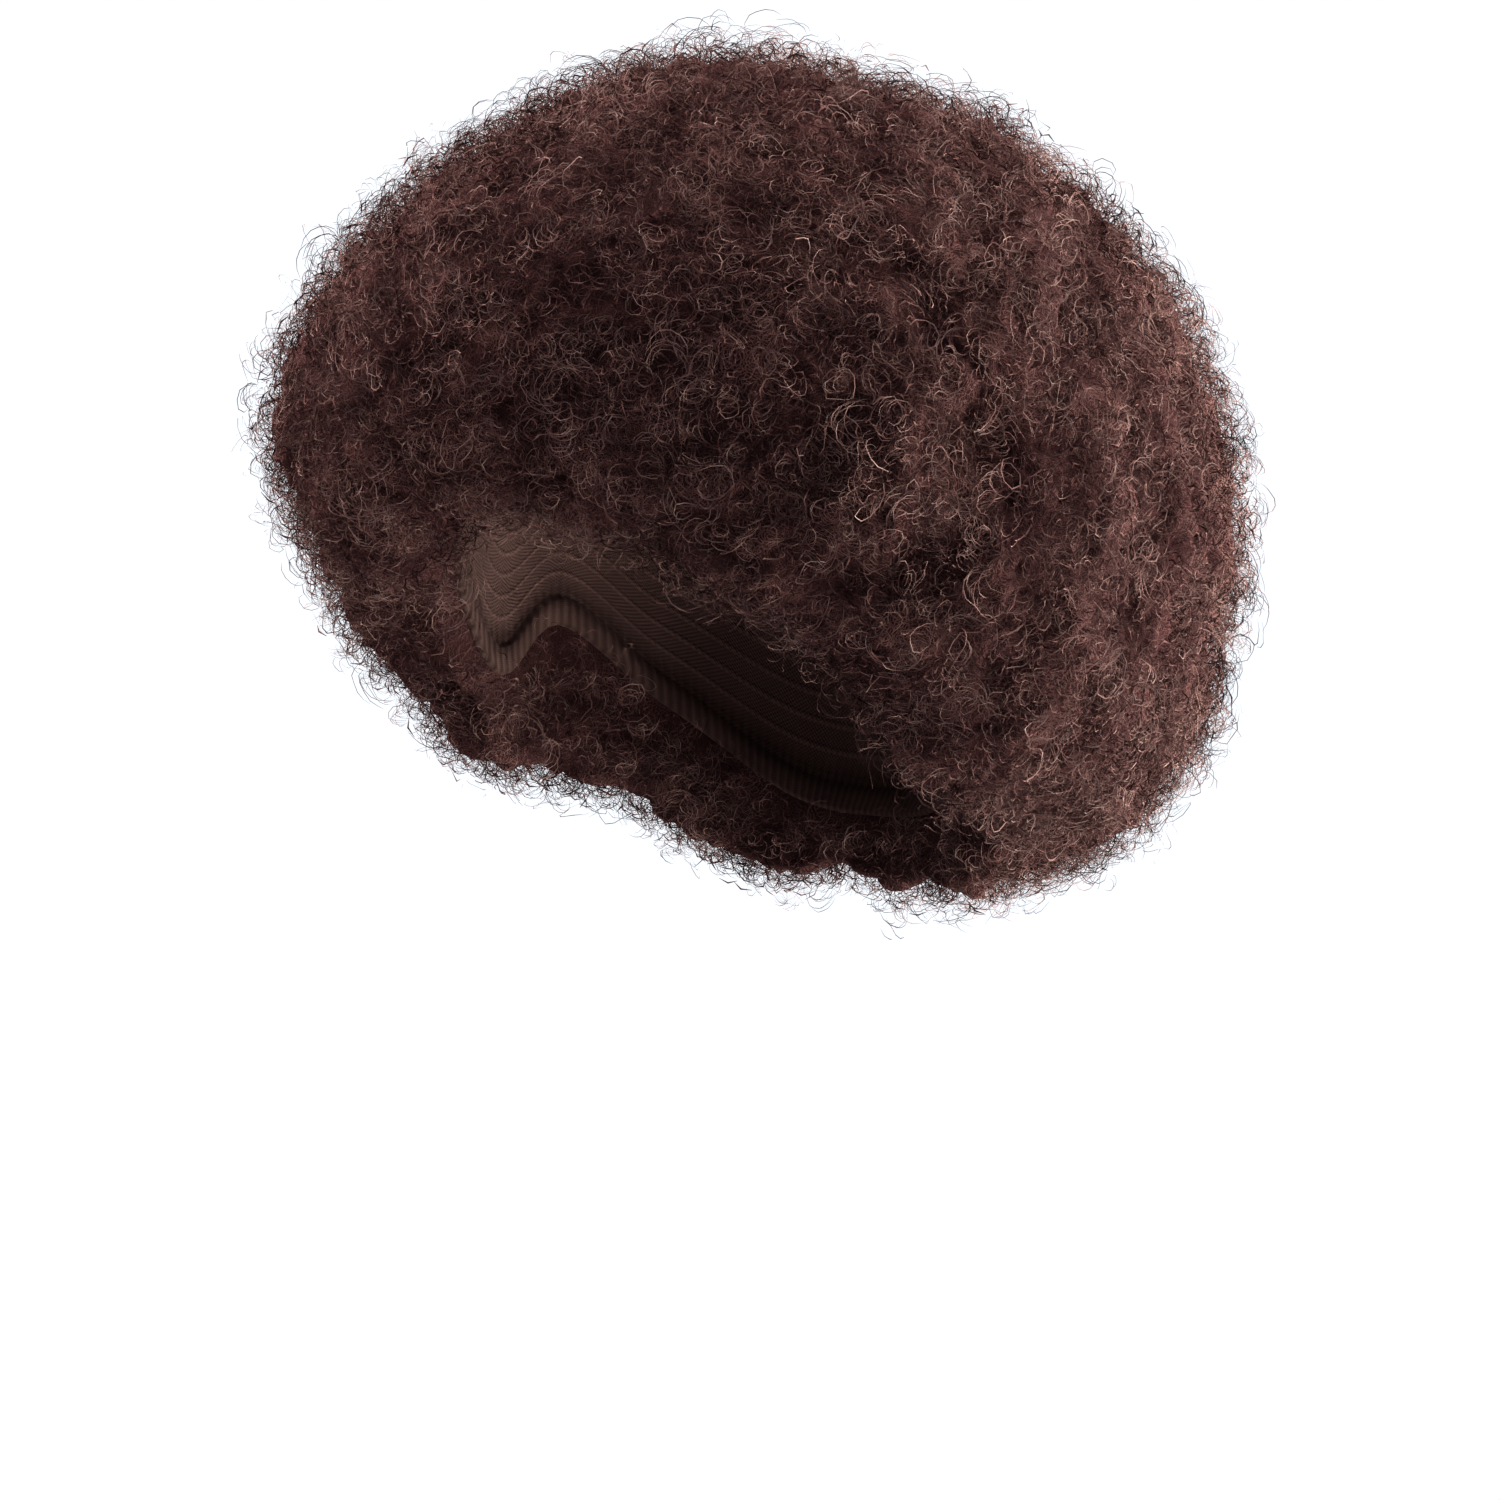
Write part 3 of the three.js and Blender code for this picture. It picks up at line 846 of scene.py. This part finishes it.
# %% Surface of the cap
HEAD_SIZE = {"half_width": 0.074, "front": 0.092, "back": 0.098, "crown": 0.096}
CAP_COLUMNS = 120
CAP_STEPS = 24
CAP_WALL = 0.0016
HEM_FOLD = 0.001
HEM_WIDTH = 0.008
HEM_STEP = 0.004  # radians
HEM_TUCK = 0.002  # radians
ROUND_EDGE = (
    # radians past the edge, growth past the head
    (0.006, 0.0011), (0.008, 0.0003), (0.006, -0.0006),
)


def head_point(azimuth, polar, growth):
    angle = math.radians(azimuth)
    depth = HEAD_SIZE["front"] if math.cos(angle) > 0 else HEAD_SIZE["back"]
    x = (HEAD_SIZE["half_width"] + growth) * math.sin(polar) * math.sin(angle)
    y = -(depth + growth) * math.sin(polar) * math.cos(angle)
    return Vector((x, y, (HEAD_SIZE["crown"] + growth) * math.cos(polar) - HEAD_SIZE["crown"]))


def cap_rows(azimuth):
    rim = math.acos(1 + rim_height(azimuth) / HEAD_SIZE["crown"])
    fold = rim - HEM_WIDTH / HEAD_SIZE["crown"]
    down = [(rim * step / CAP_STEPS, CAP_WALL) for step in range(1, CAP_STEPS + 1)]
    round_edge = [(rim + past, growth) for past, growth in ROUND_EDGE]
    hem = [(rim - HEM_TUCK, -HEM_FOLD), ((rim + fold) / 2, -HEM_FOLD), (fold + HEM_STEP, -HEM_FOLD),
           (fold - HEM_STEP, 0.0)]
    up = [((fold - HEM_STEP) * step / CAP_STEPS, 0.0) for step in range(CAP_STEPS - 1, 0, -1)]
    return down + round_edge + hem + up


def make_cap():
    form = bmesh.new()
    chart = form.loops.layers.uv.new("OFBake")
    turns = [360 * column / CAP_COLUMNS for column in range(CAP_COLUMNS)]
    rings = [cap_rows(turn) for turn in turns]
    rows = len(rings[0])
    top = form.verts.new((0, 0, CAP_WALL))
    bottom = form.verts.new((0, 0, 0))
    grid = [[form.verts.new(head_point(turn, *place)) for place in ring]
            for turn, ring in zip(turns, rings)]
    for column in range(CAP_COLUMNS):
        here, beside = grid[column], grid[(column + 1) % CAP_COLUMNS]
        faces = [((top, here[0], beside[0]), (0, 1, 1))]
        for row in range(rows - 1):
            corners = (here[row], here[row + 1], beside[row + 1], beside[row])
            faces.append((corners, (row + 1, row + 2, row + 2, row + 1)))
        faces.append(((here[-1], bottom, beside[-1]), (rows, rows + 1, rows)))
        for corners, heights in faces:
            face = form.faces.new(corners)
            face.smooth = True
            for loop, height in zip(face.loops, heights):
                side = 1 if loop.vert in beside else 0
                loop[chart].uv = ((column + side) / CAP_COLUMNS, height / (rows + 1))
    mesh = bpy.data.meshes.new("cap")
    form.to_mesh(mesh)
    form.free()
    return mesh


cap = new_piece("cap", make_cap())
print("cap:", triangle_count(cap.data), "triangles")

# %% [markdown]
# The loops of the knit, the rows in which the hair is sewn on and the gathers of the hem are
# too fine to model, so they are waves along and across the cap's own chart, in the bump and in
# the colour. The chart's X runs round the head, and its Y from the crown to the edge and back.

# %% Finish of the cap
CAP_DARK = (0.0070, 0.0034, 0.0030, 1)
CAP_LIGHT = (0.044, 0.0225, 0.0190, 1)
KNIT_LOOPS = 360
KNIT_COURSES = 330
HEM_MIDDLE = 0.515
HEM_NARROWNESS = 14
HEM_GATHERS = 170
SEWN_ROWS = 55
STITCHES = 240
WEAR_SCALE = 60.0


def make_cap_finish():
    material, nodes = new_finish("cap_knit")
    chart = nodes.node("ShaderNodeUVMap", {"uv_map": "OFBake"})
    parts = nodes.node("ShaderNodeSeparateXYZ", {}, {"Vector": chart})

    def waves(axis, count):
        return nodes.maths("SINE", parts[axis] * (2 * math.pi * count))

    knit = waves("X", KNIT_LOOPS) * waves("Y", KNIT_COURSES) * 0.5 + 0.5
    from_hem = nodes.maths("ABSOLUTE", parts["Y"] - HEM_MIDDLE)
    band = ((1 - from_hem * HEM_NARROWNESS) * 3).clamped()
    gathers = waves("X", HEM_GATHERS) * 0.5 + 0.5
    rows = ((waves("Y", SEWN_ROWS) - 0.6) * 2.5).clamped() * (1 - band)
    stitches = waves("X", STITCHES) * 0.5 + 0.5
    sewn = rows * (stitches * 0.6 + 0.4)
    relief = knit * (0.4 - band * 0.2) + gathers * band + sewn * 0.8
    place = nodes.node("ShaderNodeTexCoord", out="Object")
    wear = nodes.noise(place, WEAR_SCALE, 2.0, "Fac")
    # Painted shade and light on the hem: the gathers are darker in their valleys and lighter on their
    # ridges
    shade = (knit * 0.35 + wear * 0.35 + sewn * 0.3 + gathers * band * 0.25 - band * 0.15).clamped()
    colour = nodes.mix_colour(shade, CAP_DARK, CAP_LIGHT)
    bump = nodes.node("ShaderNodeBump", {}, {"Strength": 0.8, "Distance": 0.0009, "Height": relief})
    sockets = {"Base Color": colour, "Roughness": 0.9, "Specular IOR Level": 0.02, "Normal": bump}
    close_finish(nodes, sockets)
    return material


cap.data.materials.append(make_cap_finish())
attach(cap, "root")
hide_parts("wig_cap")
print("finish of the cap:", cap.data.materials[0].name)

# %% [markdown]
# The wig is held up as a head would hold it, in an empty white room as in a studio for
# catalogue pictures. A pale floor lies far below the picture and sends some light back up.

# %% White room and pale floor
FLOOR_HEIGHT = -1.3
FLOOR_RADIUS = 2.4
FLOOR_SIDES = 96
FLOOR_COLOUR = (0.7, 0.7, 0.7, 1)
ROOM_COLOUR = (0.90, 0.94, 1, 1)
ROOM_STRENGTH = 1.12


def make_floor():
    form = bmesh.new()
    bmesh.ops.create_circle(form, cap_ends=True, segments=FLOOR_SIDES, radius=FLOOR_RADIUS)
    bmesh.ops.translate(form, verts=form.verts, vec=(0, 0, FLOOR_HEIGHT))
    mesh = bpy.data.meshes.new("floor")
    form.to_mesh(mesh)
    form.free()
    material, nodes = new_finish("pale_floor")
    close_finish(nodes, {"Base Color": FLOOR_COLOUR, "Roughness": 0.9, "Specular IOR Level": 0.0})
    mesh.materials.append(material)
    return new_piece("floor", mesh)


make_floor()
world = bpy.data.worlds.new("white_room")
world.use_nodes = True
room = world.node_tree.nodes["Background"]
room.inputs["Color"].default_value = ROOM_COLOUR
room.inputs["Strength"].default_value = ROOM_STRENGTH
bpy.context.scene.world = world
bpy.context.scene.view_settings.view_transform = "Standard"
print("floor at", FLOOR_HEIGHT, "m")

# %% [markdown]
# Soft lights stand to both sides, above and below, all a little behind the wig as seen from
# the camera, so the edges of the ball of hair catch the light and its front stays dark. They
# stand close, so that each lights its own side most, and most have a limited spread, which
# keeps them off the floor.

# %% Soft lights
LIT_MIDDLE = Vector((0, 0.02, -0.05))
WARM_LIGHT = (1.0, 0.95, 0.895)
WHITE_LIGHT = (0.98, 1.0, 0.92)
SOFTBOXES = (
    # name, degrees round from the camera, elevation, distance, size, spread, watts, colour
    ("light_right", 103, 6, 0.85, 0.9, 120, 93, WHITE_LIGHT),
    ("light_left", -110, 28, 0.85, 0.8, 120, 56, WARM_LIGHT),
    ("light_top", 150, 80, 1.2, 1.2, 180, 90, WARM_LIGHT),
    ("light_below", 96, -50, 1.1, 1.0, 90, 32, WHITE_LIGHT),
)


def make_softbox(name, turn, elevation, distance, size, spread, watts, colour):
    light = bpy.data.lights.new(name, "AREA")
    light.shape = "DISK"
    light.size = size
    light.energy = watts
    light.color = colour
    light.spread = math.radians(spread)
    box = bpy.data.objects.new(name, light)
    bpy.context.collection.objects.link(box)
    box.visible_camera = False
    box.location = LIT_MIDDLE + distance * direction(CAMERA_AZIMUTH + turn, elevation)
    aim(box, LIT_MIDDLE)


for softbox in SOFTBOXES:
    make_softbox(*softbox)
print("soft lights:", len(SOFTBOXES))
